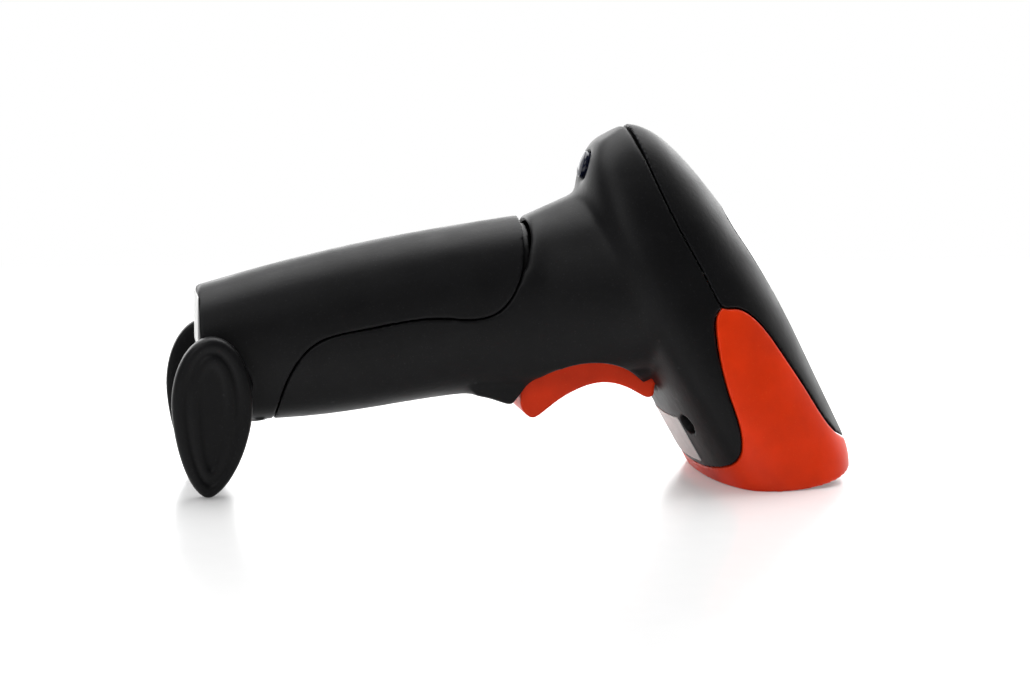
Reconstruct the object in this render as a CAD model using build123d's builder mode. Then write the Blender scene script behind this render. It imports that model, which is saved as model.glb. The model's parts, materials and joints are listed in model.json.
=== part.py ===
"""Handheld barcode scanner: a pistol scanner that rests on its nose and on two swivelling feet.

Millimetres, +Z up. +X runs from the butt of the handle to the nose, Y is the mirror axis, and
the origin is under the middle of the whole object, on the surface it rests on.
The head has its own axes: "along" runs back from the nose, "over" runs towards the top cover.
"""
import os
from copy import deepcopy
from math import copysign, cos, pi, radians, sin

from build123d import *

os.makedirs("parts", exist_ok=True)

# ---------------------------------------------------------------- driving dimensions
# head
nose_x = 69.0  # where the head's axis meets the surface below
head_angle = 60.0  # head axis above the horizontal
head_length = 102.3
head_half_width = 31.0
head_half_height = 20.7
head_crown = 4.0  # how far the middle of the head's section lies over its axis
head_waist_drop = 10.8  # the widest level, below the middle of the section
nose_sweep = 20.0  # length over which the top of the nose rounds down
nose_fall = 2.2  # how far the top line falls from the middle of the head to the nose
nose_fall_from = 41.0
rim_land_from = 57.0
rim_land_to = 65.0
rim_front_x = 95.0
rim_front_lift = 5.6
rim_back_x = 43.0
rim_back_lift = 1.6

# handle
butt_x = -84.2
butt_round = 2.0
handle_half_width = 16.0
handle_flare = 2.5  # extra half width where the handle enters the head

# neck and the finger space under it
neck_x = 3.0
neck_top = 70.2
neck_bottom = 20.8
arch_middle = (17.6, 8.0)
arch_front = 21.5
arch_back = 23.5
arch_rise = 24.4

# shells
wall = 2.2
seam_gap = 0.35
neck_gap = 1.2  # the wide stretch of the seam on top of the neck
lip_thickness = 1.2
lip_reach = 2.0
frame_slip = 0.35  # the same, between the window frame and the bumper
slip = 0.12  # clearance of a lip or frame inside a shell

# trigger
pivot_x = 32.5
pivot_z = 29.0
pin_radius = 1.25
pin_half_length = 11.2
running_clearance = 0.05
trigger_half_width = 8.6
trigger_side_gap = 0.4
trigger_skin = 2.4

# switch above the trigger
switch_x = 24.0
switch_size = (8.0, 6.0, 3.9)
switch_gap = 0.15
plunger_radius = 1.2
plunger_clearance = 0.1
board_thickness = 1.2
trigger_board_z = 41.5
trigger_board_half_width = 11.0
ledge_thickness = 2.0
spring_x = 12.0
spring_radius = 2.6
spring_wire = 0.5
spring_turns = 5

# feet
foot_axis_x = -77.0
foot_axis_z = 27.0
foot_middle_x = -81.36
foot_waist_z = 23.5
foot_half_width = 10.2
foot_tip_lean = 1.2
foot_top_z = 40.9
foot_inner_y = 17.9
foot_thickness = 5.0
foot_round = 1.8
foot_ring_inset = 3.0
foot_ring_width = 1.5
foot_relief = 0.6
foot_dish_inset = 6.8
hub_radius = 3.6
hub_pad_radius = 6.0
hub_recess_radius = 5.4
washer_radius = 5.0
hub_pad_gap = 0.3
hub_inner_y = 11.5
hub_boss_inner_y = 12.0
washer_thickness = 0.8
spring_washer_thickness = 0.4
foot_screw_head = 2.4
foot_screw_head_height = 1.5
foot_screw_reach = 6.5

# battery and its holder
battery_radius = 9.2
battery_length = 65.0
battery_x = -62.0  # butt end of the battery
battery_z = 38.6
battery_angle = 8.0
holder_wall = 1.8
battery_clearance = 0.15
contact_thickness = 0.4

# fasteners
head_screw_along = 27.0
head_screw_y = 17.5
head_screw_radius = 1.25
head_screw_head = 2.4
head_screw_head_height = 1.8
head_screw_seat = -8.0
head_boss_radius = 4.0
head_bore_radius = 2.9
boss_split = 2.0
foot_screw_radius = 1.25
butt_screw_x = -70.0
butt_screw_seat = 17.7
butt_pad_low = 16.5
butt_pad_radius = 3.6
tab_x = -66.0  # tongue of the main housing that the butt screw holds
tab_low = 19.8
tab_length = 16.0
tab_height = 4.2
tab_half_width = 4.5
tab_gap = 0.3
board_screw_radius = 0.8
butt_screw_head = 2.4

# nose
window_z = 6.4
window_size = (32.0, 42.0)
window_corner = 11.0
window_thickness = 1.5
window_middle_x = 67.5
window_seat = 1.4
frame_bottom_z = 5.6
frame_top_z = 11.0

# port at the butt
port_board_x = -74.5
port_board_z = 26.0
port_board_size = 15.0
port_board_thickness = 1.0
port_post_x = 6.0
port_post_y = 6.0
port_post_low = 17.4
port_z = 28.6
port_width = 9.0
port_height = 3.2

# small pieces
lens_radius = 3.6
lens_thickness = 1.6
label_thickness = 0.2
panel_thickness = 0.8

# ---------------------------------------------------------------- the head's own axes
along = Vector(-cos(radians(head_angle)), 0, sin(radians(head_angle)))
over = Vector(sin(radians(head_angle)), 0, cos(radians(head_angle)))
head_origin = Vector(nose_x, 0, 0)


def head_plane(distance):
    """Plane across the head; its second axis points towards the top cover."""
    return Plane(origin=head_origin + along * distance, x_dir=(0, -1, 0), z_dir=along)


def level_plane(height):
    """Plane along the head at a level over its axis; its second axis points back."""
    return Plane(origin=head_origin + over * height, x_dir=(0, 1, 0), z_dir=over)


def side(distance, height):
    """Side-view (X, Z) of a point given along and over the head's axis."""
    point = head_origin + along * distance + over * height
    return (point.X, point.Z)


# ---------------------------------------------------------------- outer form
def lobe(half_width, rise, fullness, count=11):
    """Points of a half superellipse, from (half_width, 0) over (0, rise) to the other side."""
    points = []
    for step in range(count):
        angle = pi * step / (count - 1)
        across = half_width * copysign(abs(cos(angle)) ** (2 / fullness), cos(angle))
        points.append((across, rise * max(sin(angle), 0.0) ** (2 / fullness)))
    return points


def section(half_width, top, waist, bottom, fullness):
    """Adds one rounded cross-section to the sketch being drawn."""
    upper = [(x, waist + y) for x, y in lobe(half_width, top - waist, fullness)]
    lower = [(-x, waist - y) for x, y in lobe(half_width, waist - bottom, fullness)]
    first = len(upper) // 2
    with BuildLine() as outline:
        Spline(*upper[first:-1], *lower[:-1], *upper[:first], periodic=True)
    make_face(outline.edges())


def rounding(distance, start, end):
    """1 before start, falling to 0 at end like the end of an egg."""
    share = min(max((distance - start) / (end - start), 0.0), 1.0)
    return (1 - share**2.3) ** (1 / 2.3)


def head_section(distance, inset):
    """Half width, top, waist and bottom of the head at a distance along its axis."""
    length = head_length - inset
    half_height = head_half_height * rounding(distance, 45, length)
    middle = head_crown + 2.8 * (max(distance - 70, 0) / (head_length - 70)) ** 2
    waist = middle - head_waist_drop * half_height / head_half_height
    top = middle + half_height - nose_fall * max(nose_fall_from - distance, 0) / nose_fall_from
    top = waist + (top - waist) * rounding(2 - distance, 0, nose_sweep)
    half_width = head_half_width * rounding(distance, 10, length)
    return half_width - inset, top - inset, waist, middle - half_height + inset


handle_stations = [  # x, upper line, lower line
    (butt_x, 51.9, 15.6),
    (-60, 58.5, 17.3),
    (-36, 63.8, 20.0),
    (-12, 67.9, 22.9),
    (4, 70.3, 22.8),
    (34, 75.0, 24.5),
]


def rim_profile():
    """Side-view region below the rim of the nose, as a prism to cut with."""
    with BuildPart() as below:
        with BuildSketch(Plane.XZ) as profile:
            with BuildLine():
                land = Line((rim_land_from, 0), (rim_land_to, 0))
                front = TangentArc(land @ 1, (rim_front_x, rim_front_lift), tangent=(1, 0))
                back = TangentArc(land @ 0, (rim_back_x, rim_back_lift), tangent=(-1, 0))
                Polyline(front @ 1, (rim_front_x + 15, rim_front_lift), (rim_front_x + 15, -60),
                         (0, -60), (0, 0), (rim_back_x - 4, 0), back @ 1)
            make_face()
        extrude(amount=60, both=True)
    return below.part


def arch(inset):
    """Prism of the finger space under the neck, grown by inset."""
    with BuildPart() as space:
        with BuildSketch(Plane.XZ):
            with BuildLine():
                rise = arch_rise + inset
                front = EllipticalCenterArc(arch_middle, arch_front + inset, rise, start_angle=0,
                                            arc_size=90)
                back = EllipticalCenterArc(arch_middle, arch_back + inset, rise, start_angle=90,
                                           arc_size=90)
                Line(front @ 0, back @ 1)
            make_face()
        extrude(amount=60, both=True)
    return space.part


def head_form(inset):
    """The head alone, shrunk by inset."""
    end = head_length - inset
    stations = [-16, -9, -3, 4, 25, 45, 62, 77, 88, end - 6.8, end - 2.7, end - 0.7]
    with BuildPart() as form:
        for distance in stations:
            with BuildSketch(head_plane(distance)):
                section(*head_section(distance, inset), 2.15)
        loft()
    return form.part


def handle_section(x, top, bottom, inset):
    """One cross-section of the handle, a little wider towards the head."""
    half_width = handle_half_width + handle_flare * (x - butt_x) / 100
    section(half_width - inset, top - inset, (top + bottom) / 2, bottom + inset, 2.35)


def butt_outline(start, low, high, low_slope, high_slope):
    """A region that opens from the butt, with its two butt corners rounded."""
    reach = 60.0
    Polygon((start, low), (start, high), (start + reach, high + high_slope * reach),
            (start + reach, low + low_slope * reach), align=None)


def handle_form(inset):
    """The handle with a rounded butt and its other end inside the head, shrunk by inset."""
    with BuildPart() as form:
        for x, top, bottom in handle_stations:
            start = x + inset if x == butt_x else x
            with BuildSketch(Plane.YZ.offset(start)):
                handle_section(x, top, bottom, inset)
        loft()
    return form.part


def butt_cutter(inset):
    """What rounds the edges of the butt face: the block outside its rounded outline."""
    start = butt_x + inset
    top, bottom = handle_stations[0][1] - inset, handle_stations[0][2] + inset
    half_width = handle_half_width - inset
    with BuildPart() as keep:
        with BuildSketch(Plane.XZ) as seen_from_side:
            butt_outline(start, bottom, top, 0.06, 0.28)
            fillet(seen_from_side.vertices().group_by(Axis.X)[0], radius=butt_round)
        extrude(amount=30, both=True)
        with BuildSketch(Plane.XY) as seen_from_above:
            butt_outline(start, -half_width, half_width, -0.03, 0.03)
            fillet(seen_from_above.vertices().group_by(Axis.X)[0], radius=butt_round)
        extrude(amount=100, both=True, mode=Mode.INTERSECT)
    with BuildPart() as cutter:
        with Locations((butt_x + 4, 0, 35)):
            Box(12, 60, 60)
        add(keep.part, mode=Mode.SUBTRACT)
    return cutter.part


def finger_stop(inset):
    """The small swelling of the lower line just behind the trigger."""
    with BuildPart() as swelling:
        with BuildSketch(Plane.XZ):
            with BuildLine():
                low = Spline((-13.5, 22.9), (-9.0, 22.3), (-5.0, 20.9), (-2.6, 20.2), (0.5, 21.5))
                Polyline(low @ 1, (0.5, 30), (-13.5, 30), low @ 0)
            make_face()
        extrude(amount=11 - inset, both=True)
    return swelling.part.translate((0, 0, inset))


def neck_form(inset):
    """The flare that runs from the handle into the back of the head, shrunk by inset."""
    with BuildPart() as form:
        with BuildSketch(Plane.YZ.offset(neck_x)):
            handle_section(neck_x, neck_top, neck_bottom, inset)
        with BuildSketch(level_plane(-7.5)):
            section(25.5 - inset, 92.3 - inset, 56, 38 + inset, 2.0)
        loft()
    return form.part


def body(inset):
    """The whole outer form shrunk by inset, as one solid."""
    joined = head_form(inset) + handle_form(inset) + neck_form(inset) + finger_stop(inset)
    return joined - butt_cutter(inset) - arch(inset)


# ---------------------------------------------------------------- where the shells part
def grown_edge(points, grow, count=60):
    """Spline through points, moved to its right by grow; drawn in the sketch being made."""
    edge = Spline(*points, mode=Mode.PRIVATE)
    if grow == 0:
        return Spline(*points)
    moved = []
    for step in range(count + 1):
        place = edge @ (step / count)
        heading = edge % (step / count)
        moved.append((place.X + grow * heading.Y, place.Y - grow * heading.X))
    return Spline(*moved)


def cover_region(grow=0.0):
    """Side-view region of the top cover, as a prism."""
    points = [side(108, 13.5), side(85, 8.5), side(74, 7.3), side(62, 6.8), side(54, 6.3),
              side(51.2, 6.7), side(49.4, 9.2), side(44, 13.0), side(32, 15.2), side(18, 16.6),
              side(6, 18.2), side(-1.0, 22.0), side(-5, 27.0)]
    with BuildPart() as region:
        with BuildSketch(Plane.XZ):
            with BuildLine():
                edge = grown_edge(points, grow)
                Polyline(edge @ 1, side(-15, 60), side(120, 60), edge @ 0)
            make_face()
        extrude(amount=60, both=True)
    return region.part


def nose_region(grow=0.0):
    """Side-view region of the bumper that wraps the nose and runs up both cheeks."""
    points = [side(52.5, 12.0), side(51.2, 6.5), side(50.4, 4.4), side(47.3, 2.0), side(31, -3.7),
              side(19.5, -6.4), side(15.6, -9.0), side(13.6, -14.0), side(12.5, -26)]
    with BuildPart() as region:
        with BuildSketch(Plane.XZ):
            with BuildLine():
                edge = grown_edge(points, grow)
                Polyline(edge @ 1, side(5, -60), side(-60, -60), side(-60, 60), side(49, 60), edge @ 0)
            make_face()
        extrude(amount=60, both=True)
    return region.part


def rear_region(grow=0.0):
    """Side-view region of the rear cover: the back of the grip and the whole butt."""
    points = [(-0.4, 80), (-0.6, 70), (-1.0, 62.0), (-3.4, 52.0), (-8.5, 45.8), (-23.0, 44.6),
              (-42.0, 42.0), (-55.4, 38.0), (-62.3, 28.5), (-65.4, 15.0), (-67.0, 5.0)]
    with BuildPart() as region:
        with BuildSketch(Plane.XZ):
            with BuildLine():
                edge = grown_edge(points, -grow)
                Polyline(edge @ 1, (-100, 0), (-100, 85), edge @ 0)
            make_face()
        extrude(amount=60, both=True)
    return region.part


def neck_slot():
    """The wide stretch of the seam across the top of the neck."""
    with BuildPart() as slot:
        with BuildSketch(Plane.XZ):
            Polygon((-0.9, 80), (neck_gap - 0.2, 80), (neck_gap - 0.3, 64), (-0.9, 56.5),
                    (-1.9, 56.5), align=None)
        extrude(amount=60, both=True)
    return slot.part


def block_around(distance, height, half_y, length, depth, start_y=0.0):
    """Box given along and over the head's axis: length along it, depth over it."""
    with BuildPart() as block:
        with BuildSketch(head_plane(distance)):
            with Locations((start_y, height)):
                Rectangle(2 * half_y, depth)
        extrude(amount=length)
    return block.part


def cylinder_over(distance, across, low, high, radius):
    """Cylinders square to the head's axis, one on each side, from level low to level high."""
    with BuildPart() as rods:
        with BuildSketch(level_plane(low)):
            with Locations((across, distance), (-across, distance)):
                Circle(radius)
        extrude(amount=high - low)
    return rods.part


def cross_rods(x, z, inner_y, outer_y, radius):
    """Cylinders along Y at (x, z), one on each side, from inner_y out to outer_y."""
    with BuildPart() as rods:
        for plane in (Plane.XZ.offset(inner_y), Plane.XZ.offset(-outer_y)):
            with BuildSketch(plane):
                with Locations((x, z)):
                    Circle(radius)
            extrude(amount=outer_y - inner_y)
    return rods.part


def within(piece, form):
    """The part of a piece that lies inside a form."""
    with BuildPart() as kept:
        add(piece)
        add(form, mode=Mode.INTERSECT)
    return kept.part


def save(piece, name):
    """Labels a finished piece and writes it."""
    piece.label = name
    export_step(piece, f"parts/{name}.step")


outer = body(0.0) - rim_profile()
inner = body(wall)
outer_copy = deepcopy(outer)
inner_copy = deepcopy(inner)
shell = outer - inner
cover_shell = shell & cover_region()
bumper_shell = (shell & nose_region()) - cover_region(seam_gap)
rear_shell = shell & rear_region()
rear_cut = rear_region(seam_gap)
housing_shell = shell - cover_region(seam_gap) - nose_region(seam_gap) - rear_cut - neck_slot()

# ---------------------------------------------------------------- top cover and its panel
with BuildPart() as panel_prism:
    with BuildSketch(level_plane(15)):
        with Locations((0, 50)):
            RectangleRounded(22, 42, 9)
    extrude(amount=20)
with BuildPart() as panel_pocket:
    with BuildSketch(level_plane(15)):
        with Locations((0, 50)):
            RectangleRounded(22 + 2 * slip, 42 + 2 * slip, 9 + slip)
    extrude(amount=20)

thin_body = body(panel_thickness)
with BuildPart() as top_panel:
    add(outer_copy)
    add(thin_body, mode=Mode.SUBTRACT)
    add(panel_prism.part, mode=Mode.INTERSECT)
save(top_panel.part, "top_panel")

screw_bosses_above = cylinder_over(head_screw_along, head_screw_y, boss_split + 0.2, 40, head_boss_radius)
board_posts = (cylinder_over(42, 9, 11.7, 40, 2.2) + cylinder_over(80, 7, 11.7, 40, 2.2))
posts_above = within(screw_bosses_above + board_posts, inner_copy)
pocket = panel_pocket.part - thin_body
thread_holes = (cylinder_over(head_screw_along, head_screw_y, 0, 12, head_screw_radius)
                + cylinder_over(42, 9, 10, 16, board_screw_radius)
                + cylinder_over(80, 7, 10, 16, board_screw_radius))
with BuildPart() as top_cover:
    add(cover_shell)
    add(posts_above)
    add(pocket, mode=Mode.SUBTRACT)
    add(thread_holes, mode=Mode.SUBTRACT)
save(top_cover.part, "top_cover")

# ---------------------------------------------------------------- rear cover of the grip
grip_wall = handle_form(wall - 0.1)
liner_out = handle_form(wall + slip)
liner_in = handle_form(wall + slip + lip_thickness)
foot_pads = cross_rods(foot_axis_x, foot_axis_z, hub_boss_inner_y, foot_inner_y - hub_pad_gap,
                       hub_pad_radius)
hub_bores = cross_rods(foot_axis_x, foot_axis_z, 0, 30, hub_radius + running_clearance)
port_hole = (Plane.YZ.offset(butt_x - 1) * Pos(0, port_z, 0)
             * extrude(RectangleRounded(port_width + 0.6, port_height + 0.6, 1.7), 5))
butt_screw_hole = Pos(butt_screw_x, 0, 18) * Cylinder(head_screw_radius + 0.15, 10)
butt_screw_sink = Pos(butt_screw_x, 0, butt_screw_seat - 3) * Cylinder(butt_screw_head + 0.2, 6)
butt_pad = (Pos(butt_screw_x, 0, (tab_low - slip + butt_pad_low) / 2)
            * Cylinder(butt_pad_radius, tab_low - slip - butt_pad_low))
tab_notch = Pos(tab_x, 0, tab_low + tab_height / 2) * Box(tab_length + 2 * tab_gap,
                                                          2 * (tab_half_width + tab_gap),
                                                          tab_height + 2 * slip)
port_posts = Part()
for post_x in (port_board_x - port_post_x, port_board_x + port_post_x):
    for post_y in (port_post_y, -port_post_y):
        port_posts += (Pos(post_x, post_y, (port_post_low + port_board_z) / 2)
                       * Box(2, 2, port_board_z - port_post_low))
hub_recess = cross_rods(foot_axis_x, foot_axis_z, 6, hub_boss_inner_y, hub_recess_radius)
rear_beyond = rear_region(lip_reach)
rear_within = rear_region(-lip_reach)
rear_edge = rear_region()
with BuildPart() as lip:
    add(liner_out)
    add(deepcopy(liner_in), mode=Mode.SUBTRACT)
    add(rear_beyond, mode=Mode.INTERSECT)
    add(rear_within, mode=Mode.SUBTRACT)
with BuildPart() as lip_root:
    add(grip_wall)
    add(liner_in, mode=Mode.SUBTRACT)
    add(rear_edge, mode=Mode.INTERSECT)
    add(rear_within, mode=Mode.SUBTRACT)
with BuildPart() as rear_cover:
    add(rear_shell)
    add(lip_root.part)
    add(lip.part)
    add(foot_pads)
    add(butt_pad)
    add(tab_notch, mode=Mode.SUBTRACT)
    add(hub_recess, mode=Mode.SUBTRACT)
    add(hub_bores, mode=Mode.SUBTRACT)
    add(port_hole, mode=Mode.SUBTRACT)
    add(butt_screw_hole, mode=Mode.SUBTRACT)
    add(butt_screw_sink, mode=Mode.SUBTRACT)
    add(port_posts)
save(rear_cover.part, "rear_cover")

# ---------------------------------------------------------------- bumper round the nose
with BuildPart() as nose_bumper:
    add(bumper_shell)
save(nose_bumper.part, "nose_bumper")

# ---------------------------------------------------------------- main housing
screw_bosses_below = cylinder_over(head_screw_along, head_screw_y, -30, boss_split, head_boss_radius)
pin_bosses = cross_rods(pivot_x, pivot_z, trigger_half_width + trigger_side_gap, 20, 4.0)
with BuildPart() as trigger_slot:
    with BuildSketch(Plane.XZ):
        Polygon((-1.8, 15), (-1.8, 34), (4, 39.2), (30, 39.2), (36.5, 33), (36.5, 15), align=None)
    extrude(amount=trigger_half_width + trigger_side_gap, both=True)
with BuildPart() as ledges:
    with BuildSketch(Plane.XY.offset(trigger_board_z - ledge_thickness)):
        with Locations((19, 14.9), (19, -14.9)):
            Rectangle(22, 10)
    extrude(amount=ledge_thickness)
with BuildPart() as tab:
    with Locations((tab_x, 0, tab_low + tab_height / 2)):
        Box(tab_length, 2 * tab_half_width, tab_height)
battery_plane = Plane(origin=(battery_x, 0, battery_z),
                      x_dir=(0, 1, 0),
                      z_dir=(cos(radians(battery_angle)), 0, sin(radians(battery_angle))))
holder_half_width = battery_radius + battery_clearance + holder_wall
with BuildPart() as holder_ribs:
    for place in (14.0, 48.0):
        with BuildSketch(battery_plane.offset(place)):
            with Locations((0, -holder_half_width - 10)):
                Rectangle(2 * holder_half_width, 20)
        extrude(amount=wall)
engine_ribs = (block_around(26, -18 + 2.4, 1.2, 12, 6.2, 6.0)
               + block_around(26, -18 + 2.4, 1.2, 12, 6.2, -6.0))
lens_axis = Vector(-0.966, 0, 0.257)
lens_plane = Plane(origin=Vector(17.0, 0, 83.0) + lens_axis * 0.3, x_dir=(0, 1, 0), z_dir=lens_axis)
lens_hole = lens_plane * extrude(Circle(lens_radius + slip), amount=8, both=True)
ribs = within(screw_bosses_below + pin_bosses + ledges.part + holder_ribs.part + engine_ribs, outer_copy)
pin_bores = cross_rods(pivot_x, pivot_z, 0, pin_half_length, pin_radius)
head_screw_sinks = cylinder_over(head_screw_along, head_screw_y, -30, head_screw_seat, head_bore_radius)
head_screw_holes = cylinder_over(head_screw_along, head_screw_y, -30, 10, head_screw_radius + 0.15)
butt_screw_bore = Pos(butt_screw_x, 0, 20) * Cylinder(head_screw_radius, 12)
housing_tab = within(tab.part, inner_copy)
with BuildPart() as main_housing:
    add(housing_shell)
    add(ribs)
    add(housing_tab)
    add(trigger_slot.part, mode=Mode.SUBTRACT)
    add(pin_bores, mode=Mode.SUBTRACT)
    add(head_screw_sinks, mode=Mode.SUBTRACT)
    add(head_screw_holes, mode=Mode.SUBTRACT)
    add(lens_hole, mode=Mode.SUBTRACT)
    add(butt_screw_bore, mode=Mode.SUBTRACT)
save(main_housing.part, "main_housing")

# ---------------------------------------------------------------- trigger
trigger_low = [(-0.5, 20.8), (1.2, 17.7), (2.8, 16.9), (4.8, 17.8), (8.7, 20.8), (15.2, 24.5),
               (21.7, 26.0), (28.3, 24.5), (31.8, 22.6), (33.8, 21.8), (35.3, 22.4)]
with BuildPart() as trigger_block:
    with BuildSketch(Plane.XZ):
        with BuildLine():
            low = Spline(*trigger_low)
            Polyline(low @ 1, (35.9, 27.5), (33.5, 32.5), (28, 35.6), (20, 36.6), (10, 34.2),
                     (2, 28.6), (-0.5, 24.5), low @ 0)
        make_face()
    extrude(amount=trigger_half_width, both=True)
with BuildPart() as trigger_pocket:
    with BuildSketch(Plane.XZ):
        with BuildLine():
            floor_line = Spline((4.5, 23.5), (8.7, 20.8 + trigger_skin), (15.2, 24.5 + trigger_skin),
                                (21.7, 26.0 + trigger_skin), (27.5, 24.9 + trigger_skin))
            Polyline(floor_line @ 1, (27.5, 45), (0, 45), (0, 24), floor_line @ 0)
        make_face()
    extrude(amount=trigger_half_width - 1.6, both=True)
with BuildPart() as switch_post:
    with Locations((switch_x, 0, 31.5)):
        Box(3, 5, 10.2)
with BuildPart() as spring_seat:
    with BuildSketch(Plane.XY.offset(24.0)):
        with Locations((spring_x, 0)):
            Circle(spring_radius + 1.2)
    extrude(amount=4.6)
switch_finger = within(switch_post.part, trigger_block.part)
seat = within(spring_seat.part, trigger_block.part)
pivot_bore = cross_rods(pivot_x, pivot_z, 0, 20, pin_radius + running_clearance)
with BuildPart() as trigger:
    add(trigger_block.part)
    add(trigger_pocket.part, mode=Mode.SUBTRACT)
    add(switch_finger)
    add(seat)
    add(pivot_bore, mode=Mode.SUBTRACT)
save(trigger.part, "trigger")

with BuildPart() as trigger_pin:
    with BuildSketch(Plane.XZ):
        with Locations((pivot_x, pivot_z)):
            Circle(pin_radius)
    extrude(amount=pin_half_length - 0.2, both=True)
    chamfer(trigger_pin.edges(), length=0.2)
save(trigger_pin.part, "trigger_pin")

spring_bottom = 28.6
spring_top = trigger_board_z
spring_length = spring_top - spring_bottom - spring_wire
with BuildPart() as trigger_spring:
    with BuildLine(Plane((spring_x, 0, spring_bottom + spring_wire / 2))):
        coil = Helix(spring_length / spring_turns, spring_length, spring_radius)
    with BuildSketch(Plane(coil @ 0, z_dir=coil % 0)):
        Circle(spring_wire / 2)
    sweep()
save(trigger_spring.part, "trigger_spring")

with BuildPart() as trigger_board:
    with BuildSketch(Plane.XY.offset(trigger_board_z)):
        with Locations((19, 0)):
            RectangleRounded(21, 2 * trigger_board_half_width, 1)
    extrude(amount=board_thickness)
save(trigger_board.part, "trigger_board")

switch_length, switch_width, switch_height = switch_size
finger_top = 36.6
plunger_bottom = finger_top + switch_gap
plunger_length = 2.5
with BuildPart() as trigger_switch:
    with BuildSketch(Plane.XY.offset(trigger_board_z - switch_height)):
        with Locations((switch_x, 0)):
            RectangleRounded(switch_length, switch_width, 0.5)
    extrude(amount=switch_height)
    with BuildSketch(Plane.XY.offset(trigger_board_z - switch_height)):
        with Locations((switch_x, 0)):
            Circle(plunger_radius + plunger_clearance)
    extrude(amount=3.0, mode=Mode.SUBTRACT)
save(trigger_switch.part, "trigger_switch")

with BuildPart() as switch_plunger:
    with BuildSketch(Plane.XY.offset(plunger_bottom)):
        with Locations((switch_x, 0)):
            Circle(plunger_radius)
    extrude(amount=plunger_length)
    fillet(switch_plunger.edges().group_by(Axis.Z)[0], radius=0.4)
save(switch_plunger.part, "switch_plunger")

# ---------------------------------------------------------------- head screws
with BuildPart() as head_screws:
    with BuildSketch(level_plane(head_screw_seat)):
        with Locations((head_screw_y, head_screw_along), (-head_screw_y, head_screw_along)):
            Circle(head_screw_radius)
    extrude(amount=-head_screw_seat + 11)
    with BuildSketch(level_plane(head_screw_seat)):
        with Locations((head_screw_y, head_screw_along), (-head_screw_y, head_screw_along)):
            Circle(head_screw_head)
    extrude(amount=-head_screw_head_height)
    with BuildSketch(level_plane(head_screw_seat - head_screw_head_height)):
        with Locations((head_screw_y, head_screw_along), (-head_screw_y, head_screw_along)):
            Rectangle(2.6, 0.6)
            Rectangle(0.6, 2.6)
    extrude(amount=1.0, mode=Mode.SUBTRACT)
save(head_screws.part, "head_screws")

# ---------------------------------------------------------------- rear lens
with BuildPart() as rear_lens:
    with BuildSketch(lens_plane.offset(-lens_thickness)):
        Circle(lens_radius)
    extrude(amount=lens_thickness)
    with BuildSketch(lens_plane.offset(-lens_thickness - 0.8)):
        Circle(lens_radius - 1.0)
    extrude(amount=0.8)
    fillet(rear_lens.edges().sort_by(Axis((0, 0, 0), lens_axis))[-1], radius=0.4)
save(rear_lens.part, "rear_lens")

# ---------------------------------------------------------------- window in the nose
frame_slab = Pos(68, 0, (frame_bottom_z + frame_top_z) / 2) * Box(70, 80, frame_top_z - frame_bottom_z)
frame_form = head_form(wall + frame_slip)
window_place = Plane.XY.offset(window_z)
with BuildPart() as window_frame:
    add(frame_form)
    add(frame_slab, mode=Mode.INTERSECT)
    with BuildSketch(Plane.XY):
        with Locations((window_middle_x, 0)):
            RectangleRounded(window_size[0] - 2 * window_seat, window_size[1] - 2 * window_seat,
                             window_corner - window_seat)
    extrude(amount=20, mode=Mode.SUBTRACT)
    with BuildSketch(Plane.XY):
        with Locations((window_middle_x, 0)):
            RectangleRounded(window_size[0] + 2 * slip, window_size[1] + 2 * slip,
                             window_corner + slip)
    extrude(amount=window_z + window_thickness + 0.5, mode=Mode.SUBTRACT)
save(window_frame.part, "window_frame")

with BuildPart() as scan_window:
    with BuildSketch(Plane.XY.offset(window_z)):
        with Locations((window_middle_x, 0)):
            RectangleRounded(window_size[0], window_size[1], window_corner)
    extrude(amount=window_thickness)
save(scan_window.part, "scan_window")

with BuildPart() as window_gasket:
    with BuildSketch(Plane.XY.offset(window_z + window_thickness)):
        with Locations((window_middle_x, 0)):
            RectangleRounded(window_size[0] - 0.2, window_size[1] - 0.2, window_corner - 0.1)
            RectangleRounded(window_size[0] - 2 * window_seat + 0.2,
                             window_size[1] - 2 * window_seat + 0.2,
                             window_corner - window_seat + 0.1, mode=Mode.SUBTRACT)
    extrude(amount=0.5)
save(window_gasket.part, "window_gasket")

# ---------------------------------------------------------------- scan engine and its bracket
engine_along = 25.0
engine_length = 13.0
engine_height = -1.5
engine_depth = 14.0
engine_half_width = 11.0
with BuildPart() as scan_engine:
    with BuildSketch(head_plane(engine_along)):
        with Locations((0, engine_height)):
            RectangleRounded(2 * engine_half_width, engine_depth, 1.2)
    extrude(amount=engine_length)
save(scan_engine.part, "scan_engine")

with BuildPart() as engine_lens:
    with BuildSketch(head_plane(engine_along - 3.5)):
        with Locations((0, engine_height)):
            Circle(4.6)
            Circle(3.4, mode=Mode.SUBTRACT)
    extrude(amount=3.5)
    with BuildSketch(head_plane(engine_along - 1.5)):
        with Locations((0, engine_height)):
            Circle(3.4)
    extrude(amount=1.5)
save(engine_lens.part, "engine_lens")

with BuildPart() as engine_lights:
    with BuildSketch(head_plane(engine_along - 1.8)):
        with Locations((7.6, engine_height), (-7.6, engine_height)):
            Circle(2.1)
    extrude(amount=1.8)
save(engine_lights.part, "engine_lights")

rib_top = -15.6 + 3.1
with BuildPart() as engine_bracket:
    with BuildSketch(head_plane(engine_along)):
        with Locations((0, (rib_top + engine_height - engine_depth / 2) / 2)):
            Rectangle(26, engine_height - engine_depth / 2 - rib_top)
    extrude(amount=engine_length + 1.6)
    with BuildSketch(head_plane(engine_along + engine_length)):
        with Locations((0, engine_height)):
            Rectangle(26, engine_depth)
        with Locations((0, engine_height)):
            Rectangle(10, 4, mode=Mode.SUBTRACT)
    extrude(amount=1.6)
save(engine_bracket.part, "engine_bracket")

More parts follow.
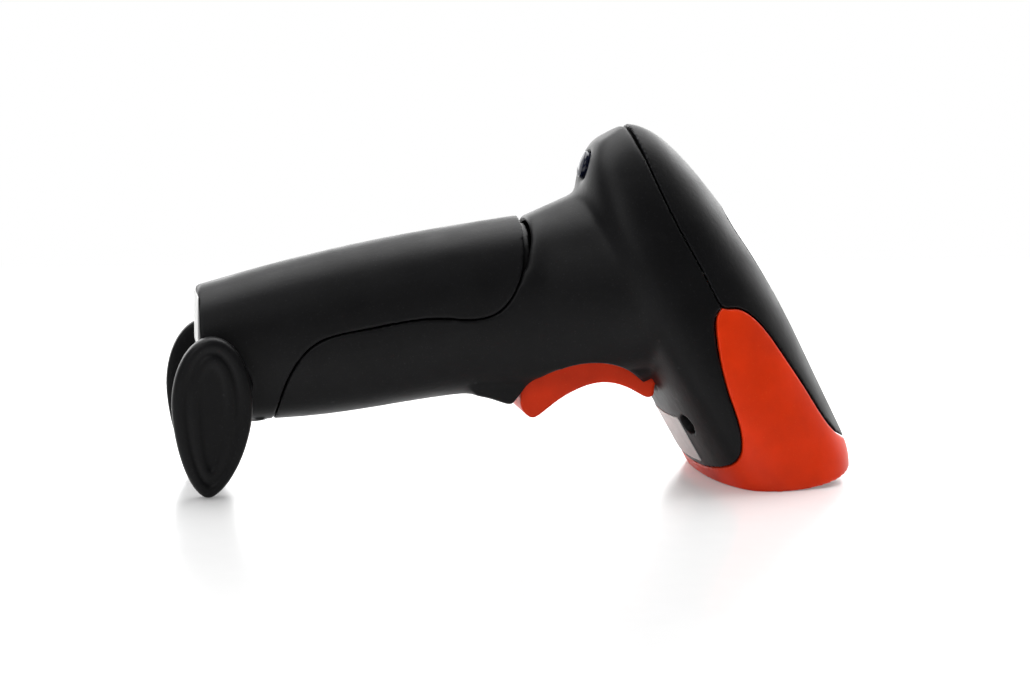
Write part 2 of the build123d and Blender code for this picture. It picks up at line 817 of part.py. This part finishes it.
# ---------------------------------------------------------------- main board
board_along = 36.0
board_end = 87.0
board_low = 10.1
board_high = 11.7
with BuildPart() as main_board:
    with BuildSketch(level_plane(board_low)):
        with Locations((0, (board_along + board_end) / 2)):
            RectangleRounded(23, board_end - board_along, 1.5)
    extrude(amount=board_high - board_low)
    with BuildSketch(level_plane(board_low)):
        with Locations((9, 42), (-9, 42), (7, 80), (-7, 80)):
            Circle(board_screw_radius + 0.1)
    extrude(amount=board_high - board_low, mode=Mode.SUBTRACT)
save(main_board.part, "main_board")

with BuildPart() as board_screws:
    with BuildSketch(level_plane(board_low)):
        with Locations((9, 42), (-9, 42), (7, 80), (-7, 80)):
            Circle(board_screw_radius)
    extrude(amount=5.5)
    with BuildSketch(level_plane(board_low)):
        with Locations((9, 42), (-9, 42), (7, 80), (-7, 80)):
            Circle(1.6)
    extrude(amount=-1.0)
save(board_screws.part, "board_screws")

with BuildPart() as processor_chip:
    with BuildSketch(level_plane(board_low)):
        with Locations((0, 52)):
            Rectangle(10, 10)
    extrude(amount=-1.2)
save(processor_chip.part, "processor_chip")

with BuildPart() as buzzer:
    with BuildSketch(level_plane(board_high)):
        with Locations((0, 58)):
            Circle(6)
    extrude(amount=4.5)
    with BuildSketch(level_plane(board_high + 4.5)):
        with Locations((0, 58)):
            Circle(1)
    extrude(amount=-1, mode=Mode.SUBTRACT)
save(buzzer.part, "buzzer")

with BuildPart() as status_led:
    with BuildSketch(level_plane(board_low)):
        with Locations((0, 84.5)):
            Rectangle(3, 3)
    extrude(amount=-1.2)
save(status_led.part, "status_led")

# ---------------------------------------------------------------- battery in the grip
with BuildPart() as battery:
    with BuildSketch(battery_plane):
        Circle(battery_radius)
    extrude(amount=battery_length)
    fillet(battery.edges(), radius=0.6)
save(battery.part, "battery")

with BuildPart() as battery_holder:
    with BuildSketch(battery_plane.offset(-4)):
        with Locations((0, -holder_half_width / 2)):
            Rectangle(2 * holder_half_width, holder_half_width)
    extrude(amount=battery_length + 8)
    with BuildSketch(battery_plane.offset(-1.5)):
        Circle(battery_radius + battery_clearance)
    extrude(amount=battery_length + 3, mode=Mode.SUBTRACT)
save(battery_holder.part, "battery_holder")

with BuildPart() as battery_contacts:
    for place in (-1.5, battery_length + 1.5 - contact_thickness):
        with BuildSketch(battery_plane.offset(place)):
            with Locations((0, -3)):
                Rectangle(8, 9)
        extrude(amount=contact_thickness)
    for place, length in ((-1.1, 1.1), (battery_length, 1.1)):
        with BuildSketch(battery_plane.offset(place)):
            Circle(2.2)
        extrude(amount=length)
save(battery_contacts.part, "battery_contacts")

# ---------------------------------------------------------------- port at the butt
with BuildPart() as port_board:
    with Locations((port_board_x, 0, port_board_z + port_board_thickness / 2)):
        Box(port_board_size, port_board_size, port_board_thickness)
save(port_board.part, "port_board")

with BuildPart() as charging_port:
    with BuildSketch(Plane.YZ.offset(butt_x + 0.3)):
        with Locations((0, port_z)):
            RectangleRounded(port_width, port_height, 1.4)
    extrude(amount=7.4)
    with BuildSketch(Plane.YZ.offset(butt_x + 0.3)):
        with Locations((0, port_z)):
            RectangleRounded(port_width - 0.6, port_height - 0.6, 1.2)
    extrude(amount=6.4, mode=Mode.SUBTRACT)
    with Locations((butt_x + 4.2, 0, port_z)):
        Box(6.4, 6.6, 0.7)
save(charging_port.part, "charging_port")

with BuildPart() as butt_screw:
    with BuildSketch(Plane.XY.offset(butt_screw_seat)):
        with Locations((butt_screw_x, 0)):
            Circle(head_screw_radius)
    extrude(amount=6.0)
    with BuildSketch(Plane.XY.offset(butt_screw_seat)):
        with Locations((butt_screw_x, 0)):
            Circle(butt_screw_head)
    extrude(amount=-1.2)
save(butt_screw.part, "butt_screw")

# ---------------------------------------------------------------- feet
def egg(inset=0.0, count=24):
    """Outline of a foot shrunk by inset: round above its widest level, narrower below."""
    points = []
    for step in range(count):
        angle = 2 * pi * step / count
        fullness = 2.0 if sin(angle) >= 0 else 1.7
        reach = (foot_top_z if sin(angle) >= 0 else 0.0) - foot_waist_z
        across = copysign(abs(cos(angle)) ** (2 / fullness), cos(angle)) * (foot_half_width - inset)
        up = abs(sin(angle)) ** (2 / fullness) * (abs(reach) - inset) * copysign(1, reach)
        lean = foot_tip_lean * (max(-up, 0) / foot_waist_z) ** 2
        points.append((foot_middle_x + across - lean, foot_waist_z + up))
    return points


feet = []
foot_outer_y = foot_inner_y + foot_thickness
for name, turn in (("left_foot", 1), ("right_foot", -1)):
    outer_face = Plane(origin=(0, turn * foot_outer_y, 0), x_dir=(1, 0, 0), z_dir=(0, -1, 0))
    inward = turn * 1.0
    with BuildPart() as foot:
        with BuildSketch(outer_face):
            with BuildLine():
                Spline(*egg(), periodic=True)
            make_face()
        extrude(amount=inward * foot_thickness)
        fillet(foot.edges().group_by(Axis.Y)[-1 if turn > 0 else 0], radius=foot_round)
        with BuildSketch(outer_face):
            with BuildLine():
                Spline(*egg(foot_ring_inset), periodic=True)
            make_face()
            with BuildLine():
                Spline(*egg(foot_ring_inset + foot_ring_width), periodic=True)
            make_face(mode=Mode.SUBTRACT)
        extrude(amount=inward * foot_relief, mode=Mode.SUBTRACT)
        with BuildSketch(outer_face):
            with BuildLine():
                Spline(*egg(foot_dish_inset), periodic=True)
            make_face()
        extrude(amount=inward * foot_relief, mode=Mode.SUBTRACT)
        with BuildSketch(outer_face.offset(inward * foot_thickness)):
            with Locations((foot_axis_x, foot_axis_z)):
                Circle(hub_radius)
        extrude(amount=inward * (foot_inner_y - hub_inner_y))
        with BuildSketch(outer_face.offset(inward * (foot_outer_y - hub_inner_y))):
            with Locations((foot_axis_x, foot_axis_z)):
                Circle(foot_screw_radius)
        extrude(amount=-inward * (foot_screw_reach + 0.5), mode=Mode.SUBTRACT)
    save(foot.part, name)
    hub_face = Plane(origin=(foot_axis_x, turn * hub_inner_y, foot_axis_z), x_dir=(1, 0, 0),
                     z_dir=(0, -turn, 0))
    with BuildPart() as washer:
        with BuildSketch(hub_face):
            Circle(washer_radius)
            Circle(foot_screw_radius + 0.1, mode=Mode.SUBTRACT)
        extrude(amount=washer_thickness)
    save(washer.part, name + "_washer")
    with BuildPart() as screw:
        with BuildSketch(hub_face.offset(washer_thickness)):
            Circle(foot_screw_head)
        extrude(amount=foot_screw_head_height)
        with BuildSketch(hub_face.offset(washer_thickness)):
            Circle(foot_screw_radius)
        extrude(amount=-foot_screw_reach)
    save(screw.part, name + "_screw")

with BuildPart() as spring_washers:
    for turn in (1, -1):
        start = hub_boss_inner_y - spring_washer_thickness if turn < 0 else -hub_boss_inner_y
        with BuildSketch(Plane.XZ.offset(start)):
            with Locations((foot_axis_x, foot_axis_z)):
                Circle(washer_radius)
                Circle(hub_radius + 0.2, mode=Mode.SUBTRACT)
        extrude(amount=spring_washer_thickness)
save(spring_washers.part, "spring_washers")

# ---------------------------------------------------------------- labels
grown = head_form(-label_thickness)
label_prism = block_around(15.5, -18, 13, 13.5, 12)
label_base = head_form(0.0)
with BuildPart() as underside_label:
    add(grown)
    add(label_prism, mode=Mode.INTERSECT)
    add(label_base, mode=Mode.SUBTRACT)
save(underside_label.part, "underside_label")

with BuildPart() as butt_label:
    with BuildSketch(Plane.YZ.offset(butt_x)):
        with Locations((0, 43.5)):
            RectangleRounded(22, 13, 1.5)
    extrude(amount=-label_thickness)
save(butt_label.part, "butt_label")
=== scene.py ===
"""Looks of the handheld barcode scanner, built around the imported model. Metres, +Z up.

+X runs from the butt of the grip to the nose and Y is the mirror axis. The black shells, the
bumper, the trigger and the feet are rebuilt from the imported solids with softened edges; every
other solid keeps its shape and gets a procedural material.
"""
import json
import math

import bpy
from mathutils import Matrix, Vector


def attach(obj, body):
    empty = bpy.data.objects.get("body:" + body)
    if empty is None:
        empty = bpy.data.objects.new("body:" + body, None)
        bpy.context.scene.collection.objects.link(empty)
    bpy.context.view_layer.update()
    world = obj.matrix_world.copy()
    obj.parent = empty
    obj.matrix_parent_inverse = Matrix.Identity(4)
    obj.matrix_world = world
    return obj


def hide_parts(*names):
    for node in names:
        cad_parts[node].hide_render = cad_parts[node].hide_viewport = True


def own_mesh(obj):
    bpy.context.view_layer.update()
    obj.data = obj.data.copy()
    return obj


MM = 0.001

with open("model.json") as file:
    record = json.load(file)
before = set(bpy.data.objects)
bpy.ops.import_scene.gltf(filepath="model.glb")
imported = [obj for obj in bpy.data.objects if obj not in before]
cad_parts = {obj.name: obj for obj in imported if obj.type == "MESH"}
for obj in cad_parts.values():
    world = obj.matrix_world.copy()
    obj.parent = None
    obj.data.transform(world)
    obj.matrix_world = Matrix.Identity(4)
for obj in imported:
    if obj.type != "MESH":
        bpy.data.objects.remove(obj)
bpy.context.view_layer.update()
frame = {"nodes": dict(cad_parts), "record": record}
nodes = frame["nodes"]


# ---------------------------------------------------------------- materials
def add_node(tree, kind, inputs=None, **settings):
    """Adds a node, sets its properties, and sets or links its inputs."""
    made = tree.nodes.new(kind)
    for key, value in settings.items():
        setattr(made, key, value)
    for key, value in (inputs or {}).items():
        if isinstance(value, bpy.types.NodeSocket):
            tree.links.new(value, made.inputs[key])
        else:
            made.inputs[key].default_value = value
    return made


def noise(tree, place, size, detail=3.0, roughness=0.5):
    """Noise whose features are about `size` millimetres across; returns its value socket."""
    made = add_node(tree, "ShaderNodeTexNoise",
                    {"Vector": place, "Scale": 1 / (size * MM), "Detail": detail,
                     "Roughness": roughness})
    return made.outputs["Fac"]


def remap(tree, value, low, high, to_low, to_high):
    """Straight-line remapping of a value, clamped."""
    made = add_node(tree, "ShaderNodeMapRange",
                    {"Value": value, "From Min": low, "From Max": high,
                     "To Min": to_low, "To Max": to_high})
    return made.outputs["Result"]


def mix(tree, share, first, second):
    """Mixed colour of two colours or sockets."""
    made = add_node(tree, "ShaderNodeMix", data_type="RGBA")
    for socket, value in ((made.inputs[0], share), (made.inputs[6], first), (made.inputs[7], second)):
        if isinstance(value, bpy.types.NodeSocket):
            tree.links.new(value, socket)
        else:
            socket.default_value = value
    return made.outputs[2]


def start_material(name):
    """A new material with its tree, its Principled shader and its object coordinates."""
    material = bpy.data.materials.new(name)
    material.use_nodes = True
    tree = material.node_tree
    shader = tree.nodes["Principled BSDF"]
    place = tree.nodes.new("ShaderNodeTexCoord").outputs["Object"]
    return material, tree, shader, place


def add_bump(tree, shader, layers, strength):
    """Bump from a sum of (height socket, depth in mm)."""
    normal = None
    for height, depth in layers:
        inputs = {"Height": height, "Strength": strength, "Distance": depth * MM}
        if normal is not None:
            inputs["Normal"] = normal
        normal = add_node(tree, "ShaderNodeBump", inputs).outputs["Normal"]
    tree.links.new(normal, shader.inputs["Normal"])


def plastic(name, colour, pale, roughness, grain, depth, specular=0.4, coat=0.0):
    """Moulded plastic: fine grain, faint cloudy tone, and paler rubbed spots along its edges."""
    material, tree, shader, place = start_material(name)
    cloud = noise(tree, place, 14, 4)
    fine = noise(tree, place, grain, 2)
    coarse = noise(tree, place, grain * 2.6, 2)
    tone = mix(tree, remap(tree, cloud, 0.35, 0.7, 0.0, 1.0),
               (*[c * 0.88 for c in colour], 1), (*[min(c * 1.12, 1) for c in colour], 1))
    speck = remap(tree, fine, 0.62, 0.74, 0.0, 0.35)
    tone = mix(tree, speck, tone, (*pale, 1))
    edge = add_node(tree, "ShaderNodeNewGeometry").outputs["Pointiness"]
    rubbed = add_node(tree, "ShaderNodeMath", {0: remap(tree, edge, 0.53, 0.62, 0.0, 1.0),
                                               1: remap(tree, noise(tree, place, 3, 5), 0.5, 0.7, 0, 0.6)},
                      operation="MULTIPLY").outputs[0]
    tone = mix(tree, rubbed, tone, (*pale, 1))
    tree.links.new(tone, shader.inputs["Base Color"])
    tree.links.new(remap(tree, noise(tree, place, 9, 5), 0.3, 0.7, roughness - 0.05, roughness + 0.06),
                   shader.inputs["Roughness"])
    shader.inputs["Specular IOR Level"].default_value = specular
    shader.inputs["Coat Weight"].default_value = coat
    shader.inputs["Coat Roughness"].default_value = 0.15
    add_bump(tree, shader, ((fine, depth), (coarse, depth * 0.8)), 0.6)
    return material


def metal(name, colour, roughness, brush=(1, 1, 1)):
    """Plated metal with fine streaks and faint stains."""
    material, tree, shader, place = start_material(name)
    stretched = add_node(tree, "ShaderNodeMapping", {"Vector": place, "Scale": brush}).outputs[0]
    streak = noise(tree, stretched, 0.5, 4)
    stain = noise(tree, place, 5, 4)
    tone = mix(tree, remap(tree, stain, 0.4, 0.7, 0, 0.5), (*colour, 1),
               (*[c * 0.6 for c in colour], 1))
    tree.links.new(tone, shader.inputs["Base Color"])
    tree.links.new(remap(tree, streak, 0.3, 0.7, roughness - 0.08, roughness + 0.12),
                   shader.inputs["Roughness"])
    shader.inputs["Metallic"].default_value = 1.0
    add_bump(tree, shader, ((streak, 0.01),), 0.5)
    return material


def glass(name, colour, roughness, transmission):
    """Tinted window: smooth, with faint dust and wipe marks."""
    material, tree, shader, place = start_material(name)
    dust = noise(tree, place, 0.8, 4)
    wipe = noise(tree, add_node(tree, "ShaderNodeMapping",
                                {"Vector": place, "Scale": (1, 0.15, 1)}).outputs[0], 4, 4)
    tone = mix(tree, remap(tree, dust, 0.6, 0.75, 0, 0.25), (*colour, 1), (0.2, 0.18, 0.18, 1))
    tree.links.new(tone, shader.inputs["Base Color"])
    tree.links.new(remap(tree, wipe, 0.35, 0.7, roughness, roughness + 0.06),
                   shader.inputs["Roughness"])
    shader.inputs["Transmission Weight"].default_value = transmission
    shader.inputs["IOR"].default_value = 1.49
    add_bump(tree, shader, ((wipe, 0.004),), 0.3)
    return material


def paper(name):
    """Blank satin label stock: slightly mottled, with a fine fibre texture."""
    material, tree, shader, place = start_material(name)
    mottle = noise(tree, place, 2.5, 5)
    fibre = noise(tree, place, 0.25, 3)
    tone = mix(tree, remap(tree, mottle, 0.35, 0.7, 0, 1), (0.80, 0.80, 0.79, 1), (0.88, 0.88, 0.87, 1))
    tree.links.new(tone, shader.inputs["Base Color"])
    tree.links.new(remap(tree, fibre, 0.3, 0.7, 0.45, 0.6), shader.inputs["Roughness"])
    add_bump(tree, shader, ((fibre, 0.01),), 0.3)
    return material


black = (0.0062, 0.0062, 0.0068)
materials = {
    "black_plastic": plastic("textured_black_plastic", black, (0.03, 0.03, 0.032), 0.42, 0.42, 0.035,
                             specular=0.15),
    "inner_plastic": plastic("inner_grey_plastic", (0.03, 0.03, 0.032), (0.08, 0.08, 0.08), 0.5, 0.8, 0.02),
    "orange_plastic": plastic("orange_plastic", (0.93, 0.043, 0.003), (0.95, 0.10, 0.02), 0.42, 0.5, 0.012,
                              specular=0.2),
    "gloss_panel": plastic("gloss_black_panel", (0.010, 0.010, 0.011), (0.03, 0.03, 0.03), 0.22, 0.9, 0.004,
                           coat=0.3),
    "steel": metal("zinc_plated_steel", (0.55, 0.56, 0.58), 0.3, (1, 4, 1)),
    "brass": metal("plated_brass", (0.75, 0.58, 0.28), 0.3, (1, 1, 4)),
    "window": glass("red_tinted_window", (0.20, 0.012, 0.012), 0.04, 0.5),
    "lens": glass("dark_blue_lens", (0.003, 0.005, 0.018), 0.12, 0.0),
    "black_steel": metal("blackened_steel", (0.02, 0.02, 0.02), 0.45),
    "led": glass("clear_led", (0.85, 0.85, 0.75), 0.15, 0.4),
    "rubber": plastic("black_rubber", (0.015, 0.015, 0.015), (0.04, 0.04, 0.04), 0.7, 0.5, 0.02),
    "circuit_board": plastic("solder_mask", (0.01, 0.10, 0.035), (0.3, 0.3, 0.25), 0.35, 1.6, 0.02),
    "chip": plastic("chip_resin", (0.012, 0.012, 0.013), (0.05, 0.05, 0.05), 0.5, 0.3, 0.01),
    "battery_wrap": plastic("battery_sleeve", (0.02, 0.10, 0.32), (0.1, 0.2, 0.4), 0.3, 1.2, 0.01),
    "label": paper("blank_label"),
}
slot_of = {}
for row in frame["record"]["subparts"]:
    slot_of[row["node"]] = row["material_slot"]
    dressed = nodes[row["node"]]
    dressed.data.materials.clear()
    dressed.data.materials.append(materials[row["material_slot"]])


# ---------------------------------------------------------------- softened shells
def smoothed(piece, passes, group=""):
    """Relaxes a piece's mesh; with a vertex group, only there."""
    modifier = piece.modifiers.new("relax", "SMOOTH")
    modifier.factor = 0.5
    modifier.iterations = passes
    modifier.vertex_group = group


def bake(piece):
    """Applies a piece's modifiers to its mesh."""
    shape = bpy.data.meshes.new_from_object(piece.evaluated_get(bpy.context.evaluated_depsgraph_get()))
    piece.modifiers.clear()
    piece.data = shape


def stand_in(node, body):
    """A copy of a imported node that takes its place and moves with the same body."""
    piece = bpy.data.objects.new(node + "_skin", nodes[node].data.copy())
    bpy.context.scene.collection.objects.link(piece)
    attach(piece, body)
    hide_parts(node)
    return piece


def softened(node, body, spacing=0.4, passes=4, weight=None, weight_passes=0):
    """A finer copy of a packed shell with rounded edges; weight picks where it relaxes more."""
    piece = stand_in(node, body)
    fine = piece.modifiers.new("fine", "REMESH")
    fine.mode = "VOXEL"
    fine.voxel_size = spacing * MM
    bake(piece)
    if weight is not None:
        group = piece.vertex_groups.new(name="blend")
        for point in piece.data.vertices:
            share = weight(point.co)
            if share > 0:
                group.add([point.index], share, "REPLACE")
        smoothed(piece, weight_passes, "blend")
    smoothed(piece, passes)
    bake(piece)
    piece.vertex_groups.clear()
    piece.data.shade_smooth()
    piece.data.materials.clear()
    piece.data.materials.append(materials[slot_of[node]])
    return piece


def near_lines(*lines):
    """Weight that falls from a line's strength to 0 at its reach; lines lie in the side view."""

    def weight(point):
        place = Vector((point.x, point.z)) / MM
        most = 0.0
        for start, end, reach, strength in lines:
            run = Vector(end) - Vector(start)
            share = min(max((place - Vector(start)).dot(run) / run.length_squared, 0), 1)
            away = (place - Vector(start) - run * share).length
            most = max(most, strength * (1 - away / reach))
        return most

    return weight


# start and end (x, z), reach and strength, in millimetres
neck_blend = near_lines(
    ((15.0, 78.0), (37.0, 40.0), 13, 1.0),  # where the neck flares into the head
    ((3.0, 73.0), (3.0, 26.0), 6, 0.8),  # where the neck starts on the grip
    ((-15.0, 22.5), (-3.0, 21.0), 7, 0.6),  # swelling behind the trigger
    ((17.0, 84.0), (25.0, 92.0), 9, 0.5))  # back of the head
softened("main_housing", "body", weight=neck_blend, weight_passes=250)
softened("top_cover", "body")
softened("rear_cover", "body")
softened("nose_bumper", "body")
softened("trigger", "trigger", passes=3)
for side in ("left", "right"):
    softened(side + "_foot", side + "_foot", spacing=0.35, passes=22)

# the rear lens is domed
lens_outward = Vector((-0.966, 0.0, 0.257)).normalized()
lens_rise = 0.7 * MM
lens_rim = 0.9 * MM  # depth of the outer part that is domed
lens_radius = 3.6 * MM
lens_skin = softened("rear_lens", "body", spacing=0.2, passes=3)
lens_top = max(point.co.dot(lens_outward) for point in lens_skin.data.vertices)
outer = [point for point in lens_skin.data.vertices
         if point.co.dot(lens_outward) > lens_top - lens_rim]
lens_middle = sum((point.co for point in outer), Vector()) / len(outer)
for point in outer:
    away = point.co - lens_middle
    across = (away - lens_outward * away.dot(lens_outward)).length
    point.co += lens_outward * lens_rise * max(0, 1 - (across / lens_radius) ** 2)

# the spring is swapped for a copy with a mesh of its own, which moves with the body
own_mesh(stand_in("trigger_spring", "body"))


# ---------------------------------------------------------------- floor, light and camera
near_white = 0.2  # share of plain white that the camera sees on the near table top


def floor_material():
    """Glossy white table top; its far parts fade to plain white for the camera and reflections."""
    material, tree, shader, place = start_material("white_table_top")
    cloud = noise(tree, place, 60, 3)
    tree.links.new(mix(tree, cloud, (0.87, 0.87, 0.87, 1), (0.90, 0.90, 0.90, 1)),
                   shader.inputs["Base Color"])
    tree.links.new(remap(tree, noise(tree, place, 8, 4), 0.3, 0.7, 0.19, 0.22),
                   shader.inputs["Roughness"])
    shader.inputs["Specular IOR Level"].default_value = 0.8
    depth = add_node(tree, "ShaderNodeSeparateXYZ", {0: place}).outputs["Y"]
    white = add_node(tree, "ShaderNodeEmission", {"Color": (1, 1, 1, 1), "Strength": 1.0}).outputs[0]
    path = tree.nodes.new("ShaderNodeLightPath")
    seen = add_node(tree, "ShaderNodeMath", {0: path.outputs["Is Camera Ray"],
                                             1: path.outputs["Is Glossy Ray"]},
                    operation="MAXIMUM").outputs[0]
    share = add_node(tree, "ShaderNodeMath", {0: remap(tree, depth, 0.0, 0.6, near_white, 1.0),
                                              1: seen}, operation="MULTIPLY").outputs[0]
    both = add_node(tree, "ShaderNodeMixShader", {0: share, 1: shader.outputs[0], 2: white})
    tree.links.new(both.outputs[0], tree.nodes["Material Output"].inputs["Surface"])
    return material


def make_floor():
    """A wide table top that curves up into a backdrop behind the object."""
    half_width, near, far, rise, bend = 4.0, -3.0, 1.6, 3.0, 0.8
    profile = [(near, 0.0), (far, 0.0)]
    for step in range(1, 17):
        angle = math.radians(90) * step / 16
        profile.append((far + bend * math.sin(angle), bend - bend * math.cos(angle)))
    profile.append((far + bend, rise))
    points = [(x, y, z) for x in (-half_width, half_width) for y, z in profile]
    count = len(profile)
    faces = [(k, count + k, count + k + 1, k + 1) for k in range(count - 1)]
    mesh = bpy.data.meshes.new("table_top")
    mesh.from_pydata(points, [], faces)
    mesh.shade_smooth()
    mesh.materials.append(floor_material())
    floor = bpy.data.objects.new("table_top", mesh)
    bpy.context.scene.collection.objects.link(floor)


def area_light(name, place, aim, size, power):
    """Rectangular soft light aimed at a point."""
    data = bpy.data.lights.new(name, "AREA")
    data.shape = "RECTANGLE"
    data.size, data.size_y = size
    data.energy = power
    light = bpy.data.objects.new(name, data)
    light.location = place
    light.rotation_mode = "QUATERNION"
    light.rotation_quaternion = (Vector(aim) - Vector(place)).to_track_quat("-Z", "Y")
    bpy.context.scene.collection.objects.link(light)


def make_world():
    """White surroundings: 1 for what the camera and reflections see, dimmer as a light."""
    world = bpy.data.worlds.new("studio")
    world.use_nodes = True
    tree = world.node_tree
    background = tree.nodes["Background"]
    path = tree.nodes.new("ShaderNodeLightPath")
    seen = add_node(tree, "ShaderNodeMath", {0: path.outputs["Is Camera Ray"],
                                             1: path.outputs["Is Transmission Ray"]},
                    operation="MAXIMUM").outputs[0]
    background.inputs["Color"].default_value = (1, 1, 1, 1)
    tree.links.new(remap(tree, seen, 0, 1, 0.10, 1.0), background.inputs["Strength"])
    bpy.context.scene.world = world


def make_camera(azimuth, elevation, roll, distance, target, lens):
    """Camera at the photograph's angle; azimuth 0 looks along +Y."""
    turn, up, tilt = (math.radians(a) for a in (azimuth, elevation, roll))
    back = Vector((math.sin(turn) * math.cos(up), -math.cos(turn) * math.cos(up), math.sin(up)))
    level = Vector((math.cos(turn), math.sin(turn), 0))
    upright = back.cross(level)
    right = math.cos(tilt) * level + math.sin(tilt) * upright
    top = math.cos(tilt) * upright - math.sin(tilt) * level
    data = bpy.data.cameras.new("camera")
    data.lens = lens
    data.clip_start = 0.01
    camera = bpy.data.objects.new("camera", data)
    place = Vector(target) + back * distance
    camera.matrix_world = Matrix((
        (right.x, top.x, back.x, place.x),
        (right.y, top.y, back.y, place.y),
        (right.z, top.z, back.z, place.z),
        (0, 0, 0, 1)))
    bpy.context.scene.collection.objects.link(camera)
    bpy.context.scene.camera = camera


make_floor()
make_world()
area_light("top_softbox", (-0.1, 0.25, 0.9), (0, 0, 0.03), (1.4, 0.8), 15)
area_light("front_left", (-0.7, -1.0, 0.8), (0, 0, 0.04), (0.7, 0.7), 4)
area_light("back_right", (0.7, 0.5, 0.6), (0, 0, 0.06), (0.6, 0.6), 5)
area_light("back_wall", (0.25, 1.3, 0.45), (0, 0, 0.05), (2.4, 0.8), 14)
make_camera(-10, 7.25, 0.5, 0.644, (-0.0006, 0, 0.0356), 85)
bpy.context.scene.view_settings.view_transform = "Standard"
